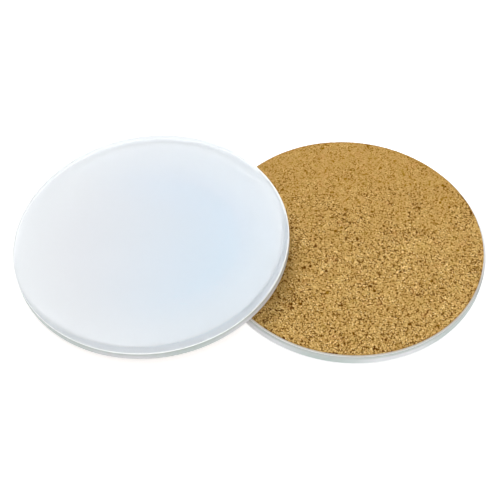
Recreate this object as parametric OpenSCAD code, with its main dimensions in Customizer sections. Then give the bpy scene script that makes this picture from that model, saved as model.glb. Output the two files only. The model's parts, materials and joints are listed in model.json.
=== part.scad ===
// A pair of round glass drink coasters with cork backs. The lower one lies turned over, cork up.
// The upper one is face up: its left edge stands on the table and it leans on the lower one's rim.
// Millimetres, +Z up. The origin is the centre of the face that the lower coaster rests on.

/* [Glass disc] */
// Diameter of each coaster, across the glass
glass_d = 100; // [70:1:140]
// Thickness of the glass at its middle
glass_t = 4; // [3:0.5:8]
// Width of the rolled rim round the drink face
roll_w = 3.5; // [1.5:0.1:8]
// How far the rolled rim falls at its outer edge
roll_drop = 0.3; // [0.1:0.05:0.8]
// Size of the ground arris between the rolled rim and the side
face_arris = 0.3; // [0.1:0.05:0.6]
// Size of the ground arris between the side and the back
back_arris = 0.3; // [0.1:0.05:0.6]

/* [White coat] */
// Thickness of the opaque white coat on the back of the glass
coat_t = 0.25; // [0.1:0.05:0.6]
// Bare margin of flat glass outside the white coat
coat_margin = 0.05; // [0.05:0.05:2]

/* [Cork back] */
// Thickness of the adhesive film between coat and cork
film_t = 0.1; // [0.05:0.05:0.4]
// How far the film stops short of the cork's edge
film_margin = 0.2; // [0.1:0.1:3]
// Thickness of the cork pad
cork_t = 0.8; // [0.6:0.1:5]
// How far the cork stops short of the white coat's edge
cork_margin = 0.55; // [0.05:0.05:4]
// Size of the softened corner round the cork's free face
cork_corner = 0.15; // [0.05:0.05:0.4]

/* [Pair] */
// How far the upper coaster reaches over the lower one, from rim to rim
overlap = 28.5; // [8:0.1:45]
// Clearance where the upper coaster leans on the lower one
lean_gap = 0.05; // [0.02:0.01:0.3]

/* [Hidden] */

// Facets round each disc
$fn = 240;

// Radii of the four pieces
glass_r = glass_d / 2;
flat_back_r = glass_r - back_arris;
coat_r = flat_back_r - coat_margin;
cork_r = coat_r - cork_margin;
film_r = cork_r - film_margin;

// Heights above the cork's free face, where each piece starts
film_z = cork_t;
coat_z = film_z + film_t;
glass_z = coat_z + coat_t;
coaster_h = glass_z + glass_t;

// The rolled rim is an arc that leaves the flat face without a kink.
flat_face_r = glass_r - roll_w;
roll_r = (roll_w * roll_w + roll_drop * roll_drop) / (2 * roll_drop);
side_top_z = glass_t - roll_drop - face_arris;

// Radius of the cork's flat face, on whose edge a coaster stands and leans
foot_r = cork_r - cork_corner;

// Level distance between the centres of the two coasters
centre_gap = glass_d - overlap;

// Angle at which the upper coaster leans. Its foot is on the table and its cork face passes over
// the near edge of the lower coaster's cork, so each step works out a better angle from the last.
function lean_angle(angle, steps) =
    steps == 0
        ? angle
        : lean_angle(
            atan2(coaster_h + lean_gap, centre_gap - foot_r + foot_r * cos(angle)),
            steps - 1
        );
tilt = lean_angle(0, 8);

// Section of the glass under its rolled face: the flat middle, the arc and all that lies below
module rolled_face_section() {
    square([glass_r, glass_t - roll_drop]);
    intersection() {
        square([glass_r, glass_t]);
        union() {
            square([flat_face_r, glass_t]);
            translate([flat_face_r, glass_t - roll_r])
                circle(r = roll_r, $fn = 720);
        }
    }
}

// Section inside the side and its two arrises. The upper arris slopes in until it meets the arc.
module side_section() {
    polygon([
        [0, 0],
        [flat_back_r, 0],
        [glass_r, back_arris],
        [glass_r, side_top_z],
        [glass_r - roll_w, side_top_z + roll_w],
        [0, side_top_z + roll_w]
    ]);
}

// Clear glass disc, face up, with its flat back at glass_z
module glass_disc() {
    color([0.80, 0.90, 0.88, 0.5])
        translate([0, 0, glass_z])
            rotate_extrude()
                intersection() {
                    rolled_face_section();
                    side_section();
                }
}

// Opaque white coat under the glass
module white_coat() {
    color([0.93, 0.95, 0.97])
        translate([0, 0, coat_z])
            cylinder(r = coat_r, h = coat_t);
}

// Double-sided adhesive film between coat and cork
module adhesive_film() {
    color([0.85, 0.85, 0.80])
        translate([0, 0, film_z])
            cylinder(r = film_r, h = film_t);
}

// Cork pad with a softened corner round its free face
module cork_pad() {
    color([0.74, 0.59, 0.35])
        rotate_extrude()
            polygon([
                [0, 0],
                [foot_r, 0],
                [cork_r, cork_corner],
                [cork_r, cork_t],
                [0, cork_t]
            ]);
}

// Puts a face-up coaster piece into the lower coaster, which is turned over
module in_lower_coaster() {
    translate([0, 0, coaster_h])
        rotate([180, 0, 0])
            children();
}

// Puts a face-up coaster piece into the upper coaster, which leans
module in_upper_coaster() {
    translate([-centre_gap, 0, foot_r * sin(tilt)])
        rotate([0, -tilt, 0])
            children();
}

in_lower_coaster() glass_disc();  // lower_glass_disc
in_lower_coaster() white_coat();  // lower_white_coat
in_lower_coaster() adhesive_film();  // lower_adhesive_film
in_lower_coaster() cork_pad();  // lower_cork_pad
in_upper_coaster() glass_disc();  // upper_glass_disc
in_upper_coaster() white_coat();  // upper_white_coat
in_upper_coaster() adhesive_film();  // upper_adhesive_film
in_upper_coaster() cork_pad();  // upper_cork_pad
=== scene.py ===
"""A leaning pair of round glass drink coasters, white behind the glass and backed with cork.

The lower coaster lies turned over, cork up. The upper one is face up: its left edge stands on the
table and it leans on the lower one's rim. Lengths are metres, in the frame of the part.
"""

import json
import math

import bpy
from mathutils import Matrix, Vector


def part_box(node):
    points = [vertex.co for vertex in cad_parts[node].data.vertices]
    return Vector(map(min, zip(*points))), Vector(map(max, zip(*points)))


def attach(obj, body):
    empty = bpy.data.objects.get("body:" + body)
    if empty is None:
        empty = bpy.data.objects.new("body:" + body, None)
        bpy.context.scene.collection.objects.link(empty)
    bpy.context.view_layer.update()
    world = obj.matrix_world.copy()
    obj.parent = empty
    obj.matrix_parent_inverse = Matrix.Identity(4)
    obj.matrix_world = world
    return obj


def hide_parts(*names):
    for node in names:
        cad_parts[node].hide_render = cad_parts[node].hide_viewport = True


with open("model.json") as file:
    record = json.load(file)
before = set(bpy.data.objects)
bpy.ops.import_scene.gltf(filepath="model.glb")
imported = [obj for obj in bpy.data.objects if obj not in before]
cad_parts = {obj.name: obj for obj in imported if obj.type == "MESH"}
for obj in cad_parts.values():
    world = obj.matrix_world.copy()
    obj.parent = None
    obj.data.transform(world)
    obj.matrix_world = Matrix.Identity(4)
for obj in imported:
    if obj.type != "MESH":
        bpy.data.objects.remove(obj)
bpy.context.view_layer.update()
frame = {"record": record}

MM = 0.001

# Sizes of a coaster, read off the lower one, which lies level
glass_low, glass_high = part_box("lower_glass_disc")
_, coat_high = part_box("lower_white_coat")
film_low, film_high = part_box("lower_adhesive_film")
cork_low, cork_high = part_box("lower_cork_pad")
glass_r = glass_high.y
coat_r = coat_high.y
film_r = film_high.y
cork_r = cork_high.y
glass_t = glass_high.z - glass_low.z
coaster_h = cork_high.z

# Heights above the cork's free face, with the coaster face up
film_z = cork_high.z - cork_low.z
coat_z = film_z + film_high.z - film_low.z
glass_z = coaster_h - glass_t

# Edge of the glass: a rolled rim that falls by an arc, and a ground arris above and below the side
roll_w = 3.5 * MM
roll_drop = 0.3 * MM
arris = 0.3 * MM
flat_face_r = glass_r - roll_w
roll_r = (roll_w**2 + roll_drop**2) / (2 * roll_drop)

# The polished face and its rolled rim lie this far under the part's own box
polish = 0.01 * MM

# Steps in the section of the glass: across a flat, round an arris and round the rolled rim, and the
# rounds in which the slope where the upper arris meets the rolled rim is worked out
flat_steps = 6
arris_steps = 6
roll_steps = 20
slope_rounds = 4

# White frosting of the upper arris: how far it runs down the side, and how many bands of the section
# it takes there and up the arris, all round
frost_reach = 0.35 * MM
frosted_bands = 5

# The bands next to those are frosted on one stretch only, a painted highlight along that stretch: how
# many, and from and to in degrees round the coaster from its right
wide_highlight_bands = 3
wider_highlight_bands = 2
highlight_frost_spans = {"wide": (-35, 50), "wider": (8, 52)}

# Numbers of the finishes of the glass
polished, frosted, ground = 0, 1, 2

# The coat is bonded to the glass: its face lies this far inside the glass's back
coat_bond = 0.02 * MM
coat_corner = 0.06 * MM
coat_corner_steps = 3
film_corner = 0.02 * MM
film_corner_steps = 2

# Cork: its softened corner and where its arc starts, in degrees from the level, and the steps round
# that corner, up the cut side and in over the glued face
cork_corner = 0.15 * MM
cork_corner_start = -60
cork_corner_steps = 2
cork_side_steps = 4
glued_steps = 3

# Relief of the cork: its depth on the free side, how near the glued face it starts to fade, the sizes
# of its granules, and how much of the cut edge's look the outline of the free face takes
cork_relief = 0.12 * MM
relief_fade = 0.3 * film_z
granule_size = 1.1 * MM
fine_granule_size = 0.55 * MM
outline_cut = 0.4

# Segments round a turned piece, and squares across the cork's free face
ROUND = 360
CORK_SQUARES = 296


# Meshes


def arc(centre, radius, first, last, steps):
    """Points (r, z) on an arc in the section plane, by angles in degrees from the level."""
    angles = [math.radians(first + (last - first) * i / steps) for i in range(steps + 1)]
    return [(centre[0] + radius * math.cos(a), centre[1] + radius * math.sin(a)) for a in angles]


def glass_section():
    """Section of the glass from the axis at its back to the axis at its face, and each band's finish."""
    slope = 0.0
    for _ in range(slope_rounds):
        reach = roll_w - arris + arris * math.sin(slope)
        slope = math.asin(reach / roll_r)
    lean = math.degrees(slope)
    face_z = coaster_h - polish
    roll_centre = (flat_face_r, face_z - roll_r)
    join_z = roll_centre[1] + roll_r * math.cos(slope)
    upper_centre = (glass_r - arris, join_z - arris * math.cos(slope))
    lower_centre = (glass_r - arris, glass_z + arris)
    back = [(flat_face_r * i / flat_steps, glass_z) for i in range(flat_steps + 1)]
    lower_arris = arc(lower_centre, arris, -90, 0, arris_steps)
    frost_edge = [(glass_r, upper_centre[1] - frost_reach)]
    upper_arris = arc(upper_centre, arris, 0, 90 - lean, arris_steps)
    roll = arc(roll_centre, roll_r, 90 - lean, 90, roll_steps)
    face = [(flat_face_r * i / flat_steps, face_z) for i in reversed(range(flat_steps))]
    points = back + lower_arris + frost_edge + upper_arris + roll[1:] + face
    bands = [polished] * len(back) + [ground] * len(lower_arris) + [frosted] * frosted_bands
    # The wide and wider bands are frosted only on one stretch, as a painted highlight
    bands += ["wide"] * wide_highlight_bands + ["wider"] * wider_highlight_bands
    bands += [polished] * (len(points) - 1 - len(bands))
    return points, bands


def finish_at(band, i):
    """Number of a band's finish at one segment round the piece."""
    if band not in highlight_frost_spans:
        return band
    degrees = (360 * i / ROUND + 180) % 360 - 180
    first, last = highlight_frost_spans[band]
    return frosted if first < degrees < last else polished


def turned_piece(name, section, materials, placement, finish=None):
    """A closed solid turned round Z from (r, z) points that start and end on the axis."""
    rings = section[1:-1]
    bands = finish or [0] * (len(section) - 1)
    verts = [(0, 0, section[0][1])]
    for r, z in rings:
        for i in range(ROUND):
            turn = 2 * math.pi * i / ROUND
            verts.append((r * math.cos(turn), r * math.sin(turn), z))
    verts.append((0, 0, section[-1][1]))
    faces = []
    indices = []
    last = len(verts) - 1
    top = last - ROUND
    for i in range(ROUND):
        after = (i + 1) % ROUND
        faces.append((0, 1 + after, 1 + i))
        indices.append(bands[0])
        for k in range(len(rings) - 1):
            low = 1 + k * ROUND
            high = low + ROUND
            faces.append((low + i, low + after, high + after, high + i))
            indices.append(finish_at(bands[k + 1], i))
        faces.append((top + i, top + after, last))
        indices.append(bands[-1])
    return new_piece(name, verts, faces, materials, indices, placement=placement)


def new_piece(name, verts, faces, materials, finish=None, sharp=30, placement=None):
    """A mesh object in the scene, smooth but for edges sharper than the given angle in degrees."""
    mesh = bpy.data.meshes.new(name)
    mesh.from_pydata(verts, [], faces)
    if placement:
        mesh.transform(placement)
    for material in materials:
        mesh.materials.append(material)
    if finish:
        mesh.polygons.foreach_set("material_index", finish)
    mesh.shade_smooth()
    mesh.set_sharp_from_angle(angle=math.radians(sharp))
    mesh.update()
    piece = bpy.data.objects.new(name, mesh)
    bpy.context.scene.collection.objects.link(piece)
    return piece


def add_values(piece, name, values):
    """Keeps a value at each point of a piece under a name that its finish or relief reads."""
    kept = piece.data.attributes.new(name, "FLOAT", "POINT")
    kept.data.foreach_set("value", values)


def on_disc(u, v):
    """Maps a point of the square from -1 to 1 onto the unit disc with even cells."""
    if u == 0 and v == 0:
        return 0.0, 0.0
    if abs(u) > abs(v):
        turn = math.pi / 4 * v / u
        return u * math.cos(turn), u * math.sin(turn)
    turn = math.pi / 2 - math.pi / 4 * u / v
    return v * math.cos(turn), v * math.sin(turn)


def disc_grid(radius, n):
    """A level disc of n by n cells: its points, its faces, and the numbers of the points round it."""
    verts = []
    for j in range(n + 1):
        for i in range(n + 1):
            x, y = on_disc(2 * i / n - 1, 2 * j / n - 1)
            verts.append((radius * x, radius * y, 0))
    faces = []
    for j in range(n):
        for i in range(n):
            a = j * (n + 1) + i
            faces.append((a, a + n + 1, a + n + 2, a + 1))
    outline = list(range(n))
    outline += [j * (n + 1) + n for j in range(n)]
    outline += [n * (n + 1) + n - i for i in range(n)]
    outline += [(n - j) * (n + 1) for j in range(n)]
    return verts, faces, outline


def cork_mesh(name, material, placement):
    """Cork pad: a fine grid over the free face, carried round the soft corner and up the cut side."""
    flat_r = cork_r - cork_corner
    verts, faces, outline = disc_grid(flat_r, CORK_SQUARES)
    flat_count = len(verts)
    around = len(outline)
    corner = arc((flat_r, cork_corner), cork_corner, cork_corner_start, 0, cork_corner_steps)
    side_rise = (film_z - cork_corner) / cork_side_steps
    side = [(cork_r, cork_corner + side_rise * i) for i in range(1, cork_side_steps + 1)]
    glued = [(film_r * k / glued_steps, film_z) for k in reversed(range(1, glued_steps))]
    free = [1.0] * flat_count
    rim = outline
    for r, z in corner + side + glued:
        free += [min(1.0, (film_z - z) / relief_fade)] * around
        new_rim = list(range(len(verts), len(verts) + around))
        for index in rim:
            x, y, _ = verts[index]
            reach = math.hypot(x, y)
            verts.append((r * x / reach, r * y / reach, z))
        for i in range(around):
            after = (i + 1) % around
            faces.append((rim[i], rim[after], new_rim[after], new_rim[i]))
        rim = new_rim
    centre = len(verts)
    verts.append((0, 0, film_z))
    free.append(0.0)
    for i in range(around):
        faces.append((rim[i], rim[(i + 1) % around], centre))
    cut = [0.0] * flat_count + [1.0] * (len(verts) - flat_count)
    for index in outline:
        cut[index] = outline_cut
    pad = new_piece(name, verts, faces, [material], sharp=50, placement=placement)
    add_values(pad, "free_side", free)
    add_values(pad, "cut_edge", cut)
    return pad


# Node helpers

# What a range is mapped to, and the numbers of the colour sockets on a mix node
rising = (0.0, 1.0)
falling = (1.0, 0.0)
mix_first = 6
mix_second = 7
mix_result = 2


def add(tree, kind, inputs=None, **settings):
    """A node of the given kind, with settings and with values or links for its inputs."""
    node = tree.nodes.new(kind)
    for name, value in settings.items():
        setattr(node, name, value)
    for name, value in (inputs or {}).items():
        socket = node.inputs[name]
        if isinstance(value, bpy.types.NodeSocket):
            tree.links.new(value, socket)
        else:
            socket.default_value = value
    return node


def maths(tree, operation, first, second=0.0, clamp=False):
    """One step of arithmetic, as a socket."""
    node = add(tree, "ShaderNodeMath", {0: first, 1: second}, operation=operation, use_clamp=clamp)
    return node.outputs[0]


def times(tree, first, second):
    """The product of two values, as a socket."""
    return maths(tree, "MULTIPLY", first, second)


def round_zero(tree, value, strength):
    """A value from 0 to 1 moved to lie round 0 and scaled, as a socket."""
    return times(tree, maths(tree, "SUBTRACT", value, 0.5), strength)


def between(tree, value, span, out=rising):
    """Maps a value smoothly from a span onto another, as a socket."""
    node = add(
        tree, "ShaderNodeMapRange",
        {"Value": value, "From Min": span[0], "From Max": span[1], "To Min": out[0], "To Max": out[1]},
        interpolation_type="SMOOTHSTEP",
    )
    return node.outputs["Result"]


def noise(tree, place, size, detail=2.0, roughness=0.5):
    """Noise whose lumps are about the given size, as a socket from 0 to 1."""
    node = add(
        tree, "ShaderNodeTexNoise",
        {"Vector": place, "Scale": 1 / size, "Detail": detail, "Roughness": roughness},
    )
    return node.outputs[0]


def mix_colours(tree, share, first, second):
    """A mix of two colours, as a socket."""
    node = add(tree, "ShaderNodeMix", {0: share, mix_first: first, mix_second: second}, data_type="RGBA")
    return node.outputs[mix_result]


def toward(tree, place, way):
    """How far a place on a coaster lies from its axis along the given way, as a socket."""
    node = add(tree, "ShaderNodeVectorMath", {0: place, 1: way}, operation="DOT_PRODUCT")
    return node.outputs["Value"]


def bump(tree, height, depth):
    """A bump of the given depth, as a normal socket."""
    node = add(tree, "ShaderNodeBump", {"Height": height, "Distance": depth, "Strength": 1.0})
    return node.outputs[0]


def colour_from(r, g, b):
    """A linear colour from the 0 to 255 values at which it should show."""
    def linear(v):
        v = v / 255
        return v / 12.92 if v <= 0.04045 else ((v + 0.055) / 1.055) ** 2.4
    return (linear(r), linear(g), linear(b), 1.0)


def new_group(name, kind, inputs, outputs):
    """A node group with named inputs and outputs, and its input and output nodes."""
    group = bpy.data.node_groups.new(name, kind)
    for socket_name, socket_kind in inputs.items():
        group.interface.new_socket(socket_name, in_out="INPUT", socket_type="NodeSocket" + socket_kind)
    for socket_name, socket_kind in outputs.items():
        group.interface.new_socket(socket_name, in_out="OUTPUT", socket_type="NodeSocket" + socket_kind)
    return group, group.nodes.new("NodeGroupInput"), group.nodes.new("NodeGroupOutput")


def placed(tree, effect, inputs):
    """The outputs of a shared effect that is placed in a material with its own values."""
    return add(tree, "ShaderNodeGroup", inputs, node_tree=effects[effect]).outputs


# Cork grain, worked out in the same way for the relief and for the finish

# How the joints between granules wander: size and reach of the wandering, in granules, and the colour
# of the noise at which a joint stays in place
wander_size = 0.9
wander_reach = 0.7
wander_middle = (0.5, 0.5, 0.5)

# Granules whose random value is this high have broken out, and their pit starts this far from the joint
lost_span = (0.985, 0.988)
pit_span = (0.02, 0.15)

# Crevice at a joint: how far it reaches, in granules, and its depth as a share of the relief
crevice_span = (0.0, 0.25)
crevice_share = 0.45

# Where the binder is open, and how far the dark strokes there reach from a joint
open_patch = 1.0 * MM
open_span = (0.52, 0.58)
stroke_span = (0.06, 0.14)
fine_open_patch = 0.7 * MM
fine_open_span = (0.4, 0.46)
fine_stroke_span = (0.08, 0.2)

# Painted highlight on the lip beside an open joint, and the small granules that are pale
lip_highlight_near_span = (0.16, 0.22)
lip_highlight_far_span = (0.3, 0.4)
lip_highlight_share = 0.6
fine_core_span = (0.06, 0.25)
pale_own_span = (0.1, 0.14)

# How much each effect moves the shade, from 0 for bark to 1 for a pale granule
tone_level = 0.08
fine_tone_level = 0.18
speckle_level = 0.65
speckle_size = 0.35 * MM
pale_and_highlight_level = 0.42
dark_level = -0.62

# Contrast and shade from the pad's near side to its far side, and busier and quieter areas
pad_span = (-12 * MM, 42 * MM)
pad_contrast = (1.2, 0.45)
pad_shade = (0.54, 0.49)
busy_size = 7 * MM
busy_span = (0.38, 0.62)
busy_contrast = (0.65, 1.2)

# Shades of the cork from bark to pale granule, and patches that lean to red or to olive
cork_colours = ((90, 48, 0), (148, 104, 0), (196, 155, 88), (226, 190, 116), (252, 221, 152))
cork_shades = [colour_from(*colour) for colour in cork_colours]
red_shade = colour_from(205, 148, 90)
olive_shade = colour_from(186, 156, 70)
patch_size = 5 * MM
red_span = (0.58, 0.72)
red_share = (0.0, 0.2)
olive_span = (0.3, 0.42)
olive_share = (0.15, 0.0)

# How dark the cut edge is, from the pad's near side to its far side: partly its own dark, partly painted
# shade that deepens toward the far side
cut_shade_span = (-20 * MM, 30 * MM)
cut_shade_share = (0.1, 0.75)

# Fine tooth of the sanded cork, the share of tooth and strokes in its bump, and its gloss
tooth_size = 0.2 * MM
tooth_span = (0.2, 0.8)
tooth_share = 0.4
stroke_share = 0.6
cork_bump = 0.08 * MM
cork_roughness = (0.78, 0.95)
cork_specular = 0.12


def granules(tree, place, size):
    """Granules of the given size: how far it is to the joint round one, and its two random values."""
    wander = add(
        tree, "ShaderNodeTexNoise",
        {"Vector": place, "Scale": 1 / (wander_size * size), "Detail": 2.0},
    )
    shift = add(
        tree, "ShaderNodeVectorMath",
        {0: wander.outputs["Color"], 1: wander_middle}, operation="SUBTRACT",
    )
    bend = add(
        tree, "ShaderNodeVectorMath",
        {0: shift.outputs[0], "Scale": wander_reach * size}, operation="SCALE",
    )
    bent = add(tree, "ShaderNodeVectorMath", {0: place, 1: bend.outputs[0]}, operation="ADD")
    cells = add(tree, "ShaderNodeTexVoronoi", {"Vector": bent.outputs[0], "Scale": 1 / size})
    borders = add(
        tree, "ShaderNodeTexVoronoi",
        {"Vector": bent.outputs[0], "Scale": 1 / size}, feature="DISTANCE_TO_EDGE",
    )
    own = add(tree, "ShaderNodeSeparateXYZ", {0: cells.outputs["Color"]})
    return borders.outputs["Distance"], own.outputs[0], own.outputs[1]


def lost_granules(tree, distance, own):
    """1 inside the few granules that have broken out of the surface."""
    return times(tree, between(tree, own, lost_span), between(tree, distance, pit_span))


def relief_group():
    """Geometry nodes that press the crevices and pits into the cork, leaving its glued face flat."""
    tree, given, made = new_group(
        "cork_relief", "GeometryNodeTree", {"Geometry": "Geometry"}, {"Geometry": "Geometry"},
    )
    place = add(tree, "GeometryNodeInputPosition").outputs[0]
    distance, own, _ = granules(tree, place, granule_size)
    crevice = between(tree, distance, crevice_span, (crevice_share, 0.0))
    depth = maths(tree, "ADD", crevice, lost_granules(tree, distance, own), clamp=True)
    free = add(tree, "GeometryNodeInputNamedAttribute", {"Name": "free_side"}, data_type="FLOAT")
    inward = times(tree, free.outputs["Attribute"], -cork_relief)
    normal = add(tree, "GeometryNodeInputNormal")
    offset = add(
        tree, "ShaderNodeVectorMath",
        {0: normal.outputs[0], "Scale": times(tree, depth, inward)}, operation="SCALE",
    )
    moved = add(
        tree, "GeometryNodeSetPosition",
        {"Geometry": given.outputs["Geometry"], "Offset": offset.outputs[0]},
    )
    tree.links.new(moved.outputs[0], made.inputs["Geometry"])
    return tree


def cork_ramp(tree, level):
    """The shade of the cork at a level from 0 for bark to 1 for a pale granule, as a socket."""
    ramp = add(tree, "ShaderNodeValToRGB", {"Fac": level})
    stops = ramp.color_ramp.elements
    stops[0].color = cork_shades[0]
    stops[1].color = cork_shades[-1]
    last = len(cork_shades) - 1
    for i in range(1, last):
        stops.new(i / last).color = cork_shades[i]
    return ramp.outputs["Color"]


def cork_grain_and_highlights_group():
    """Cork: tan granules, short dark joints, bark and pale specks, painted highlights and shade."""
    tree, given, made = new_group(
        "cork_grain_and_highlights", "ShaderNodeTree",
        {"Place": "Vector"}, {"Color": "Color", "Height": "Float", "Roughness": "Float"},
    )
    place = given.outputs["Place"]
    near_far = add(tree, "ShaderNodeSeparateXYZ", {0: place}).outputs[1]
    distance, own, tone = granules(tree, place, granule_size)
    fine_distance, fine_own, fine_tone = granules(tree, place, fine_granule_size)

    # Joints show as short strokes where the binder is open
    open_here = between(tree, noise(tree, place, open_patch), open_span)
    stroke = times(tree, between(tree, distance, stroke_span, falling), open_here)
    fine_open = between(tree, noise(tree, place, fine_open_patch), fine_open_span, falling)
    fine_stroke = times(tree, between(tree, fine_distance, fine_stroke_span, falling), fine_open)
    dark = maths(tree, "MAXIMUM", stroke, fine_stroke)

    # The lips of an open joint get a painted highlight, and some small granules are pale
    lip_highlight_near = between(tree, distance, lip_highlight_near_span)
    lip_highlight = times(tree, times(tree, lip_highlight_near, between(tree, distance, lip_highlight_far_span, falling)), open_here)
    core = between(tree, fine_distance, fine_core_span)
    grain = times(tree, between(tree, fine_own, pale_own_span, falling), core)
    # Pale mixes the painted lip highlights with the pale granules
    pale = maths(tree, "MAXIMUM", times(tree, lip_highlight, lip_highlight_share), grain)
    pale = times(tree, pale, maths(tree, "SUBTRACT", 1.0, dark))
    dark = maths(tree, "MAXIMUM", dark, lost_granules(tree, distance, own))

    # All effects together move the shade, more on the near side of the pad than on the far side
    busy = noise(tree, place, busy_size, detail=3.0, roughness=0.6)
    busy = between(tree, busy, busy_span, busy_contrast)
    contrast = times(tree, between(tree, near_far, pad_span, pad_contrast), busy)
    speckle = noise(tree, place, speckle_size, roughness=0.7)
    parts = (
        round_zero(tree, tone, tone_level),
        round_zero(tree, fine_tone, fine_tone_level),
        round_zero(tree, speckle, speckle_level),
        times(tree, pale, pale_and_highlight_level),
        times(tree, dark, dark_level),
    )
    total = parts[0]
    for part in parts[1:]:
        total = maths(tree, "ADD", total, part)
    shade = between(tree, near_far, pad_span, pad_shade)
    level = maths(tree, "ADD", times(tree, total, contrast), shade, clamp=True)

    # A few patches lean to red or to olive, and the cut edge is darker, with painted shade toward the far
    # side
    patch = noise(tree, place, patch_size)
    red = between(tree, patch, red_span, red_share)
    olive = between(tree, patch, olive_span, olive_share)
    cut = add(tree, "ShaderNodeAttribute", attribute_name="cut_edge").outputs["Fac"]
    dark_cut_and_shade = times(tree, cut, between(tree, near_far, cut_shade_span, cut_shade_share))
    colour = mix_colours(tree, red, cork_ramp(tree, level), red_shade)
    colour = mix_colours(tree, olive, colour, olive_shade)
    colour = mix_colours(tree, dark_cut_and_shade, colour, cork_shades[0])

    tooth = noise(tree, place, tooth_size, detail=3.0, roughness=0.7)
    height = maths(tree, "SUBTRACT", times(tree, tooth, tooth_share), times(tree, dark, stroke_share))
    tree.links.new(colour, made.inputs["Color"])
    tree.links.new(height, made.inputs["Height"])
    tree.links.new(between(tree, tooth, tooth_span, cork_roughness), made.inputs["Roughness"])
    return tree


# Effects of the glass, the coat and the film

# The middle part of a grain's levels, which its roughness follows
grain_span = (0.2, 0.8)

# Stretch of the edge that gets a painted highlight: its way from the axis, and how far along that way
# the painted highlight begins and is full
highlight_paint_way = (0.906, -0.423, 0.0)
highlight_paint_span = (35.4 * MM, 38.3 * MM)

# White that the side leans to under its painted highlight, and has where it is seen from inside
frost_shade = colour_from(252, 253, 253)

# The lower coaster's side is no longer darkened by painted shade from this share of the glass's height
painted_shade_end_share = 0.4

# The side's tint swings from green to pale along the coaster, and strays by lumps of this size
tint_span = (-0.5, 1.5)
tint_lump = 14 * MM

# Ground side of each coaster: where across it the side is palest, how fast the tint swings from there,
# how strong its painted highlight is, the heights at which its painted shade is full and ends, and its
# tints. The painted shade darkens the side toward its upper edge as it lies. The tints differ between
# the coasters to stand in for the light falling differently on each, so they are partly the glass's
# own tint and partly painted light.
side_looks_with_light = {
    "lower": {
        "Palest": 13 * MM,
        "Swing": 2 * math.pi / (48 * MM),
        "Highlight Share": 0.6,
        "Painted Shade Height": glass_z + arris,
        "Full Height": glass_z + painted_shade_end_share * glass_t,
        "Green": colour_from(193, 203, 198),
        "Pale": colour_from(231, 231, 233),
        "Painted Shade": colour_from(197, 202, 198),
    },
    "upper": {
        "Palest": -8 * MM,
        "Swing": 2 * math.pi / (44 * MM),
        "Highlight Share": 0.0,
        "Painted Shade Height": coaster_h,
        "Full Height": glass_z + arris,
        "Green": colour_from(190, 199, 195),
        "Pale": colour_from(214, 213, 215),
        "Painted Shade": colour_from(172, 180, 175),
    },
}

# Shades of the coat. The rim shade is painted light; the back and shaded ones are painted shade; the
# mottle one serves both the mottle and the painted shade toward the far side.
coat_shades = {
    "neutral": colour_from(241, 241, 245),
    "blue": colour_from(219, 239, 255),
    "rim": colour_from(252, 253, 255),
    "mottle": colour_from(231, 235, 241),
    "back": colour_from(236, 234, 228),
    "shaded": colour_from(214, 232, 254),
}

# Where the coat turns blue, and where painted shade darkens it toward its far side and on its far right
blue_way = (0.99, -0.12, 0.0)
blue_span = (-35 * MM, 45 * MM)
far_shade_span = (-15 * MM, 30 * MM)
far_shade_share = 0.3
shaded_way = (0.5, 0.87, 0.0)
shaded_span = (8 * MM, 26 * MM)
shaded_share = 0.28

# Where painted light turns the coat whiter toward its rim, in a wide step and a narrow one
wide_rim_light_span = (26 * MM, 42 * MM)
wide_rim_light_share = 0.6
narrow_rim_light_span = (43 * MM, 48 * MM)
narrow_rim_light_share = 0.35

# Mottle of the baked coat, its roughness, and the fine tooth on its surface
mottle_size = 6 * MM
mottle_share = 0.08
coat_roughness = (0.4, 0.5)
coat_tooth = 0.4 * MM
coat_bump = 0.004 * MM

# Heights over which the coat's back, with its painted shade beside the cork, shows in place of its face
coat_back_shade_span = (coat_z + 0.3 * coat_corner, coat_z + coat_corner)


def surface_grain_group():
    """Fine grain of a surface, from 0 to 1, and the roughness that follows it."""
    tree, given, made = new_group(
        "surface_grain", "ShaderNodeTree",
        {"Place": "Vector", "Scale": "Float", "Detail": "Float", "Smoothest": "Float", "Roughest": "Float"},
        {"Grain": "Float", "Roughness": "Float"},
    )
    inputs = {name: given.outputs[name] for name in ("Scale", "Detail")}
    grain = add(tree, "ShaderNodeTexNoise", {"Vector": given.outputs["Place"], **inputs}).outputs[0]
    roughness = (given.outputs["Smoothest"], given.outputs["Roughest"])
    tree.links.new(grain, made.inputs["Grain"])
    tree.links.new(between(tree, grain, grain_span, roughness), made.inputs["Roughness"])
    return tree


def painted_highlight_stretch_group():
    """1 on the stretch of a coaster's edge that gets a painted highlight."""
    tree, given, made = new_group(
        "painted_highlight_stretch", "ShaderNodeTree", {"Place": "Vector"}, {"Mask": "Float"},
    )
    along = toward(tree, given.outputs["Place"], highlight_paint_way)
    tree.links.new(between(tree, along, highlight_paint_span), made.inputs["Mask"])
    return tree


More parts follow.
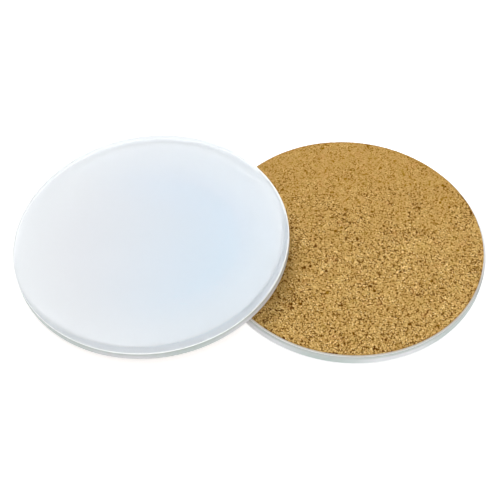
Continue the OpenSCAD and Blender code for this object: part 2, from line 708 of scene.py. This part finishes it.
def side_tone_and_light_group():
    """Tint of the ground side, green to pale, with painted shade at one height and a painted highlight."""
    tree, given, made = new_group(
        "side_tone_and_light", "ShaderNodeTree",
        {
            "Place": "Vector", "Painted Highlight": "Float", "Highlight Share": "Float", "Palest": "Float", "Swing": "Float",
            "Painted Shade Height": "Float", "Full Height": "Float", "Green": "Color", "Pale": "Color", "Painted Shade": "Color",
        },
        {"Color": "Color"},
    )
    place = given.outputs["Place"]
    apart = add(tree, "ShaderNodeSeparateXYZ", {0: place})
    off = maths(tree, "SUBTRACT", apart.outputs[0], given.outputs["Palest"])
    swing = maths(tree, "COSINE", times(tree, off, given.outputs["Swing"]))
    swing = maths(tree, "ADD", swing, noise(tree, place, tint_lump))
    pale = between(tree, swing, tint_span)
    heights = (given.outputs["Painted Shade Height"], given.outputs["Full Height"])
    # Painted shade: the side darkens toward the edge that is up as the coaster lies
    dim = between(tree, apart.outputs[2], heights, falling)
    # Painted highlight on one stretch of the side
    highlight_share = times(tree, given.outputs["Painted Highlight"], given.outputs["Highlight Share"])
    colour = mix_colours(tree, pale, given.outputs["Green"], given.outputs["Pale"])
    colour = mix_colours(tree, dim, colour, given.outputs["Painted Shade"])
    colour = mix_colours(tree, highlight_share, colour, frost_shade)
    tree.links.new(colour, made.inputs["Color"])
    return tree


def coat_tone_and_light_group():
    """White of the coat: blue to its right, mottled, painted light at its rim, painted shade at its back."""
    tree, given, made = new_group(
        "coat_tone_and_light", "ShaderNodeTree",
        {"Place": "Vector", "Painted Highlight": "Float"},
        {"Color": "Color", "Height": "Float", "Roughness": "Float"},
    )
    place = given.outputs["Place"]
    apart = add(tree, "ShaderNodeSeparateXYZ", {0: place})
    mottle = noise(tree, place, mottle_size, detail=3.0, roughness=0.6)
    flat = add(tree, "ShaderNodeVectorMath", {0: place, 1: (1.0, 1.0, 0.0)}, operation="MULTIPLY")
    reach = add(tree, "ShaderNodeVectorMath", {0: flat.outputs[0]}, operation="LENGTH").outputs["Value"]

    blue = between(tree, toward(tree, place, blue_way), blue_span)
    # Painted shade darkens the coat toward its far side and on its far right
    far_shade = between(tree, apart.outputs[1], far_shade_span, (0.0, far_shade_share))
    shaded = between(tree, toward(tree, place, shaded_way), shaded_span, (0.0, shaded_share))
    # Painted light whitens the coat toward its rim
    wide_rim_light = between(tree, reach, wide_rim_light_span, (0.0, wide_rim_light_share))
    narrow_rim_light = between(tree, reach, narrow_rim_light_span, (0.0, narrow_rim_light_share))
    colour = mix_colours(tree, blue, coat_shades["neutral"], coat_shades["blue"])
    colour = mix_colours(tree, far_shade, colour, coat_shades["mottle"])
    colour = mix_colours(tree, shaded, colour, coat_shades["shaded"])
    colour = mix_colours(tree, maths(tree, "ADD", wide_rim_light, narrow_rim_light), colour, coat_shades["rim"])
    colour = mix_colours(tree, times(tree, mottle, mottle_share), colour, coat_shades["mottle"])

    # Painted shade on the coat's back beside the cork, turned to painted highlight on one stretch
    back = between(tree, apart.outputs[2], coat_back_shade_span, falling)
    back_shade = mix_colours(tree, given.outputs["Painted Highlight"], coat_shades["back"], coat_shades["rim"])
    colour = mix_colours(tree, back, colour, back_shade)
    tree.links.new(colour, made.inputs["Color"])
    tree.links.new(noise(tree, place, coat_tooth), made.inputs["Height"])
    tree.links.new(between(tree, mottle, grain_span, coat_roughness), made.inputs["Roughness"])
    return tree


# Materials

white = (1.0, 1.0, 1.0, 1.0)

# Polished glass: faint wipe marks, waves from tempering, and its tint over a long path
wipe_mark_size = 2.5 * MM
wipe_mark_span = (0.5, 0.75)
wipe_mark_roughness = (0.0, 0.035)
wave_size = 22 * MM
wave_depth = 0.02 * MM
glass_ior = 1.52
glass_tint = (0.3, 0.8, 0.9, 1.0)
glass_tint_density = 3.0

# Ground glass: grain of the satin side and of the frosted arris, and how clear the side is
ground_ior = 1.5
ground_bump = 0.01 * MM
side_clear = 0.05
side_grain = {"Scale": 1 / (0.3 * MM), "Detail": 3.0, "Smoothest": 0.35, "Roughest": 0.5}
arris_grain = {"Scale": 1 / (0.15 * MM), "Detail": 2.0, "Smoothest": 0.35, "Roughest": 0.6}
arris_shades = (colour_from(246, 249, 248), colour_from(254, 255, 254))

# Film: its haze and its two shades
film_grain = {"Scale": 1 / (1.5 * MM), "Detail": 2.0, "Smoothest": 0.35, "Roughest": 0.6}
film_shades = (colour_from(205, 203, 190), colour_from(226, 224, 214))


def new_material(name):
    """An empty node material with its tree and output."""
    material = bpy.data.materials.new(name)
    material.use_nodes = True
    tree = material.node_tree
    tree.nodes.clear()
    return material, tree, tree.nodes.new("ShaderNodeOutputMaterial")


def here(tree):
    """The place on the piece, as a socket."""
    return add(tree, "ShaderNodeTexCoord").outputs["Object"]


def on_coaster(tree, placement):
    """The place on the piece as it lies on its own coaster, face up from the middle of the cork."""
    back = placement.inverted()
    node = add(
        tree, "ShaderNodeMapping",
        {"Vector": here(tree), "Location": back.to_translation(), "Rotation": back.to_euler()},
        vector_type="POINT",
    )
    return node.outputs[0]


def clear_glass():
    """Polished clear glass, faintly wavy from tempering, with a green cast over a long path."""
    material, tree, out = new_material("clear_glass")
    place = here(tree)
    wipe_marks = noise(tree, place, wipe_mark_size, detail=4.0, roughness=0.7)
    wave = noise(tree, place, wave_size, detail=1.0)
    glass = add(
        tree, "ShaderNodeBsdfPrincipled",
        {
            "Base Color": white,
            "Roughness": between(tree, wipe_marks, wipe_mark_span, wipe_mark_roughness),
            "IOR": glass_ior,
            "Transmission Weight": 1.0,
            "Normal": bump(tree, wave, wave_depth),
        },
    )
    tint = add(tree, "ShaderNodeVolumeAbsorption", {"Color": glass_tint, "Density": glass_tint_density})
    tree.links.new(glass.outputs[0], out.inputs["Surface"])
    tree.links.new(tint.outputs[0], out.inputs["Volume"])
    return material


def ground_side(which, placement):
    """The satin side of one coaster's glass: tinted outside, white frosting where seen from inside."""
    material, tree, out = new_material(which + "_ground_side")
    place = on_coaster(tree, placement)
    # Painted highlight on one stretch of the edge
    painted_highlight = placed(tree, "painted_highlight_stretch", {"Place": place})["Mask"]
    # The side's tone holds painted shade and painted light as well as the glass's own tint
    tone = placed(tree, "side_tone_and_light", {"Place": place, "Painted Highlight": painted_highlight, **side_looks_with_light[which]})
    grain = placed(tree, "surface_grain", {"Place": place, **side_grain})
    inside = add(tree, "ShaderNodeNewGeometry").outputs["Backfacing"]
    satin = add(
        tree, "ShaderNodeBsdfPrincipled",
        {
            "Base Color": mix_colours(tree, inside, tone["Color"], frost_shade),
            "Roughness": grain["Roughness"],
            "IOR": ground_ior,
            "Transmission Weight": side_clear,
            "Normal": bump(tree, grain["Grain"], ground_bump),
        },
    )
    tree.links.new(satin.outputs[0], out.inputs["Surface"])
    return material


def ground_arris():
    """The ground arris: fine white frosting left by the wheel."""
    material, tree, out = new_material("ground_arris")
    grain = placed(tree, "surface_grain", {"Place": here(tree), **arris_grain})
    frost = add(
        tree, "ShaderNodeBsdfPrincipled",
        {
            "Base Color": mix_colours(tree, grain["Grain"], *arris_shades),
            "Roughness": grain["Roughness"],
            "IOR": ground_ior,
            "Normal": bump(tree, grain["Grain"], ground_bump),
        },
    )
    tree.links.new(frost.outputs[0], out.inputs["Surface"])
    return material


def white_coat(which, placement):
    """Opaque white coat of one coaster, with the soft mottle of a baked coat."""
    material, tree, out = new_material(which + "_white_coat")
    place = on_coaster(tree, placement)
    # Painted highlight on one stretch of the edge
    painted_highlight = placed(tree, "painted_highlight_stretch", {"Place": place})["Mask"]
    tone = placed(tree, "coat_tone_and_light", {"Place": place, "Painted Highlight": painted_highlight})
    coat = add(
        tree, "ShaderNodeBsdfPrincipled",
        {
            "Base Color": tone["Color"],
            "Roughness": tone["Roughness"],
            "Normal": bump(tree, tone["Height"], coat_bump),
        },
    )
    tree.links.new(coat.outputs[0], out.inputs["Surface"])
    return material


def adhesive_film():
    """Clear double-sided film, milky at its cut edge."""
    material, tree, out = new_material("adhesive_film")
    haze = placed(tree, "surface_grain", {"Place": here(tree), **film_grain})
    film = add(
        tree, "ShaderNodeBsdfPrincipled",
        {
            "Base Color": mix_colours(tree, haze["Grain"], *film_shades),
            "Roughness": haze["Roughness"],
        },
    )
    tree.links.new(film.outputs[0], out.inputs["Surface"])
    return material


def cork():
    """Agglomerated cork, cut and lightly sanded."""
    material, tree, out = new_material("cork")
    grain = placed(tree, "cork_grain_and_highlights", {"Place": here(tree)})
    pad = add(
        tree, "ShaderNodeBsdfPrincipled",
        {
            "Base Color": grain["Color"],
            "Roughness": grain["Roughness"],
            "Specular IOR Level": cork_specular,
            "Normal": bump(tree, grain["Height"], cork_bump),
        },
    )
    tree.links.new(pad.outputs[0], out.inputs["Surface"])
    return material


# Light and background. Only rays that haven't yet met a dull surface see the plain white ground.

# Light tent, where 1 shows a white card as white: its walls, its brighter front and its dim top, the
# heights between which the walls end, and the stretch over which the front ends
wall_tint = (0.98, 0.99, 1.0, 1.0)
wall_level = 0.95
front_level = 1.8
top_level = 0.22
top_span = (0.25, 0.5)
front_span = (-0.8, 0.1)

# Softboxes: how far off they stand, and of each its way round and its rise in degrees, its width and
# its level. The key stands in front, the glass mirrors the back one, and the rolled rim the small one.
softbox_distance = 1.5
key_softbox = {"turn": -70, "rise": 50, "size": 1.6, "level": 1.33}
back_softbox = {"turn": 109.5, "rise": 36.2, "size": 1.56, "level": 4.15}
rim_softbox = {"turn": 79, "rise": 42, "size": 0.44, "level": 2.4}
key_tint = (0.99, 0.99, 1.0, 1.0)

# Patterns of the back and rim softboxes, on a square from 0 to 1: the middle, the soft edges from a
# distance off it to the outline, and the bright low part and dark foot of the back one by height
softbox_middle = (0.5, 0.5, 0.0)
softbox_outline = 0.5
back_edge = 0.32
rim_edge = 0.3
glow_span = (0.61, 0.66)
glow_level = 1.75
foot_span = (0.28, 0.4)

# White table: its greys and their lumps, the light that shows it white, its width, and its gap under
# the coasters
table_greys = ((0.78, 0.78, 0.78, 1.0), (0.8, 0.8, 0.8, 1.0))
table_lump = 4 * MM
table_lift = 0.65
table_size = 3.0
table_gap = 0.03 * MM


def sees_ground(tree):
    """1 for camera rays, and for rays mirrored by or passed through glass straight from the camera."""
    path = add(tree, "ShaderNodeLightPath")
    shown = maths(tree, "MAXIMUM", path.outputs["Is Camera Ray"], path.outputs["Is Glossy Ray"])
    shown = maths(tree, "MAXIMUM", shown, path.outputs["Is Transmission Ray"])
    return times(tree, shown, maths(tree, "LESS_THAN", path.outputs["Diffuse Depth"], 0.5))


def studio_world():
    """A light tent: walls low down all round, brighter in front, and a dim top."""
    world = bpy.data.worlds.new("studio")
    bpy.context.scene.world = world
    world.use_nodes = True
    tree = world.node_tree
    tree.nodes.clear()
    out = tree.nodes.new("ShaderNodeOutputWorld")
    way = add(tree, "ShaderNodeTexCoord").outputs["Generated"]
    apart = add(tree, "ShaderNodeSeparateXYZ", {0: way})
    wall = between(tree, apart.outputs[1], front_span, (front_level, wall_level))
    level = between(tree, apart.outputs[2], top_span, (wall, top_level))
    sky = add(tree, "ShaderNodeBackground", {"Color": wall_tint, "Strength": level})
    backdrop = add(tree, "ShaderNodeBackground", {"Color": white, "Strength": 1.0})
    shown = sees_ground(tree)
    pick = add(tree, "ShaderNodeMixShader", {0: shown, 1: sky.outputs[0], 2: backdrop.outputs[0]})
    tree.links.new(pick.outputs[0], out.inputs["Surface"])


def softbox(name, look, tint, pattern=None):
    """A round softbox that faces the upper coaster, even or with a pattern of levels."""
    turn = math.radians(look["turn"])
    rise = math.radians(look["rise"])
    disc_area = math.pi * look["size"] ** 2 / 4
    data = bpy.data.lights.new(name, "AREA")
    data.shape = "DISK"
    data.size = look["size"]
    data.energy = look["level"] * math.pi * disc_area
    data.use_nodes = True
    tree = data.node_tree
    tree.nodes.clear()
    strength = 1.0
    if pattern:
        strength = pattern(tree, add(tree, "ShaderNodeNewGeometry").outputs["Parametric"])
    light = add(tree, "ShaderNodeEmission", {"Color": tint, "Strength": strength})
    tree.links.new(light.outputs[0], tree.nodes.new("ShaderNodeOutputLight").inputs[0])
    lamp = bpy.data.objects.new(name, data)
    way = Vector((math.cos(rise) * math.cos(turn), math.cos(rise) * math.sin(turn), math.sin(rise)))
    aim = way.to_track_quat("Z", "Y").to_matrix().to_4x4()
    lamp.matrix_world = Matrix.Translation(face_place + way * softbox_distance) @ aim
    bpy.context.scene.collection.objects.link(lamp)


def soft_edge(tree, spot, start):
    """Level of a softbox that fades from the given distance off its middle to its outline."""
    off = add(tree, "ShaderNodeVectorMath", {0: spot, 1: softbox_middle}, operation="DISTANCE")
    return between(tree, off.outputs["Value"], (start, softbox_outline), falling)


def rim_pattern(tree, spot):
    """Levels of the rim softbox: even, with a soft edge."""
    return soft_edge(tree, spot, rim_edge)


def back_pattern(tree, spot):
    """Levels of the back softbox: a soft edge, a brighter low part and a dark foot."""
    height = add(tree, "ShaderNodeSeparateXYZ", {0: spot}).outputs[1]
    glow = between(tree, height, glow_span, (glow_level, 1.0))
    level = times(tree, soft_edge(tree, spot, back_edge), glow)
    return times(tree, level, between(tree, height, foot_span))


def table_material():
    """White table top that stays white in the picture and keeps a faint shadow."""
    material, tree, out = new_material("white_table")
    lumps = noise(tree, here(tree), table_lump, detail=3.0)
    top = add(tree, "ShaderNodeBsdfDiffuse", {"Color": mix_colours(tree, lumps, *table_greys)})
    lift = add(tree, "ShaderNodeEmission", {"Strength": times(tree, sees_ground(tree), table_lift)})
    both = add(tree, "ShaderNodeAddShader", {0: top.outputs[0], 1: lift.outputs[0]})
    clear = add(tree, "ShaderNodeBsdfTransparent")
    under = add(tree, "ShaderNodeNewGeometry").outputs["Backfacing"]
    pick = add(tree, "ShaderNodeMixShader", {0: under, 1: both.outputs[0], 2: clear.outputs[0]})
    tree.links.new(pick.outputs[0], out.inputs["Surface"])
    return material


def table():
    """A wide table top just under the coasters."""
    half = table_size / 2
    corners = ((-half, -half), (half, -half), (half, half), (-half, half))
    verts = [(x, y, -table_gap) for x, y in corners]
    top = new_piece("table", verts, [(0, 1, 2, 3)], [table_material()])


# Camera, from the photograph: it looks at the middle of the pair

camera_distance = 0.47745
camera_rise = math.radians(52.096)
camera_turn = math.radians(-2.352)
camera_roll = math.radians(-1.372)
camera_focus_px = 1300.9
camera_target = Vector((-35.89 * MM, 0.33 * MM, 0))
photo_px = 500
sensor_w = 36.0
clip_start = 0.01


def photo_camera():
    """The camera at the photograph's place."""
    data = bpy.data.cameras.new("camera")
    data.sensor_width = sensor_w
    data.lens = camera_focus_px / photo_px * sensor_w
    data.clip_start = clip_start
    camera = bpy.data.objects.new("camera", data)
    turn = Matrix.Rotation(camera_turn, 3, "Z")
    back = turn @ Vector((0, -math.cos(camera_rise), math.sin(camera_rise)))
    right = turn @ Vector((1, 0, 0))
    up = back.cross(right)
    rolled_right = right * math.cos(camera_roll) - up * math.sin(camera_roll)
    rolled_up = right * math.sin(camera_roll) + up * math.cos(camera_roll)
    axes = Matrix((rolled_right, rolled_up, back)).transposed()
    camera.matrix_world = Matrix.Translation(camera_target + back * camera_distance) @ axes.to_4x4()
    bpy.context.scene.collection.objects.link(camera)
    bpy.context.scene.camera = camera


# The two coasters


def place_of(mount_name):
    """Point and outward normal of one of the record's mounts."""
    mount = next(m for m in frame["record"]["mounts"] if m["name"] == mount_name)
    return Vector(mount["pos_m"]), Vector(mount["axis"]).normalized()


def glass_disc(which, placement):
    """The glass of one coaster, polished, frosted or ground by the bands of its section."""
    section, bands = glass_section()
    materials = [finishes["glass"], finishes["arris"], ground_side(which, placement)]
    return turned_piece(which + "_glass", section, materials, placement, bands)


def coat_disc(which, placement):
    """The white coat of one coaster, with a soft corner round its back."""
    top = glass_z + coat_bond
    corner_centre = (coat_r - coat_corner, coat_z + coat_corner)
    section = [(0, coat_z), (coat_r / 2, coat_z)]
    section += arc(corner_centre, coat_corner, -90, 0, coat_corner_steps)
    section += [(coat_r, top), (coat_r / 2, top), (0, top)]
    return turned_piece(which + "_coat", section, [white_coat(which, placement)], placement)


def film_disc(which, placement):
    """The adhesive film of one coaster, with soft edges."""
    inner_r = film_r - film_corner
    section = [(0, film_z), (film_r / 2, film_z)]
    section += arc((inner_r, film_z + film_corner), film_corner, -90, 0, film_corner_steps)
    section += arc((inner_r, coat_z - film_corner), film_corner, 0, 90, film_corner_steps)
    section += [(film_r / 2, coat_z), (0, coat_z)]
    return turned_piece(which + "_film", section, [finishes["film"]], placement)


def cork_pad(which, placement):
    """The cork pad of one coaster, with its relief."""
    pad = cork_mesh(which + "_cork", finishes["cork"], placement)
    pad.modifiers.new("relief", "NODES").node_group = effects["cork_relief"]
    return pad


def coaster(which, body, placement):
    """The four pieces of one coaster, made face up and then put in place."""
    made = (
        (glass_disc(which, placement), "_glass_disc", "clear_glass"),
        (coat_disc(which, placement), "_white_coat", "white_coat"),
        (film_disc(which, placement), "_adhesive_film", "adhesive_film"),
        (cork_pad(which, placement), "_cork_pad", "cork"),
    )
    for piece, node, slot in made:
        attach(piece, body)
        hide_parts(which + node)


effects = {
    "cork_relief": relief_group(),
    "cork_grain_and_highlights": cork_grain_and_highlights_group(),
    "surface_grain": surface_grain_group(),
    "painted_highlight_stretch": painted_highlight_stretch_group(),
    "side_tone_and_light": side_tone_and_light_group(),
    "coat_tone_and_light": coat_tone_and_light_group(),
}
finishes = {
    "glass": clear_glass(),
    "arris": ground_arris(),
    "film": adhesive_film(),
    "cork": cork(),
}
turned_over = Matrix.Translation((0, 0, coaster_h)) @ Matrix.Rotation(math.pi, 4, "X")
face_place, face_way = place_of("drink_face")
tilt = math.atan2(-face_way.x, face_way.z)
leaning = Matrix.Translation(face_place - face_way * coaster_h) @ Matrix.Rotation(-tilt, 4, "Y")
coaster("lower", "lower_coaster", turned_over)
coaster("upper", "upper_coaster", leaning)

table()
studio_world()
softbox("key_softbox", key_softbox, key_tint)
softbox("back_softbox", back_softbox, white, back_pattern)
softbox("rim_softbox", rim_softbox, white, rim_pattern)
photo_camera()

# Light has to pass the glass, the coat's edge and the frosting many times
cycles = bpy.context.scene.cycles
cycles.max_bounces = 32
cycles.diffuse_bounces = 12
cycles.transmission_bounces = 24
cycles.glossy_bounces = 12
bpy.context.scene.view_settings.view_transform = "Standard"
